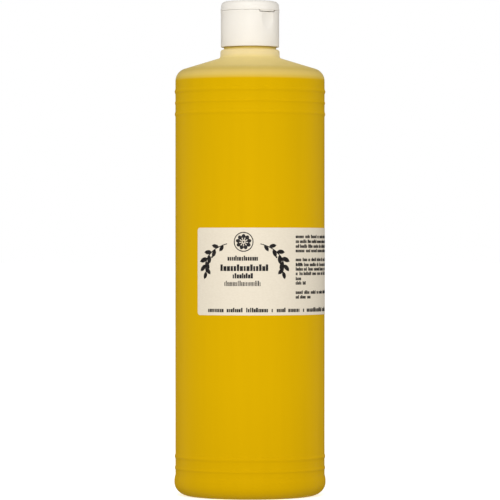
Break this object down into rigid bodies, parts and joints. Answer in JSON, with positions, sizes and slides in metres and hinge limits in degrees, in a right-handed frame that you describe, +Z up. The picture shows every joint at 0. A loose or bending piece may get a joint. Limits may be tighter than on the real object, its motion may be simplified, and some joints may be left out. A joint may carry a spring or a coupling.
{
  "type": "hand soap refill pack",
  "caption": "Tall round plastic bottle filled with yellow liquid soap, with ribbed bands, a sloped shoulder, a screw-on flip-top closure and a wrapped paper label.",
  "frame": {"origin": "centre of the bottle's resting ring, on the surface that it stands on", "axes": "+Z up along the bottle's axis towards the lid, -Y towards the label's main panel, +X to the right of that panel"},
  "size_m": [0.0794, 0.0794, 0.2591],
  "materials": {
    "natural_plastic": "translucent natural polyethylene, soft gloss",
    "golden_soap": "clear golden yellow liquid",
    "cap_plastic": "ivory white moulded polypropylene, fine satin",
    "label_paper": "cream uncoated adhesive paper",
    "print_ink": "black print"
  },
  "bodies": {
    "pack": {"bottle": "natural_plastic", "liquid_soap": "golden_soap", "label": "label_paper"},
    "closure": {"cap_base": "cap_plastic"},
    "lid": {"cap_lid": "cap_plastic"}
  },
  "joints": [
    {"name": "cap_lift", "type": "slide", "parent": "pack", "child": "closure", "axis": [0, 0, 1], "range_m": [0, 0.03]},
    {"name": "lid_hinge", "type": "hinge", "parent": "closure", "child": "lid", "pos_m": [-0.00967, 0.01237, 0.25415], "axis": [-0.788, -0.6157, 0], "range_deg": [0, 160]}
  ]
}
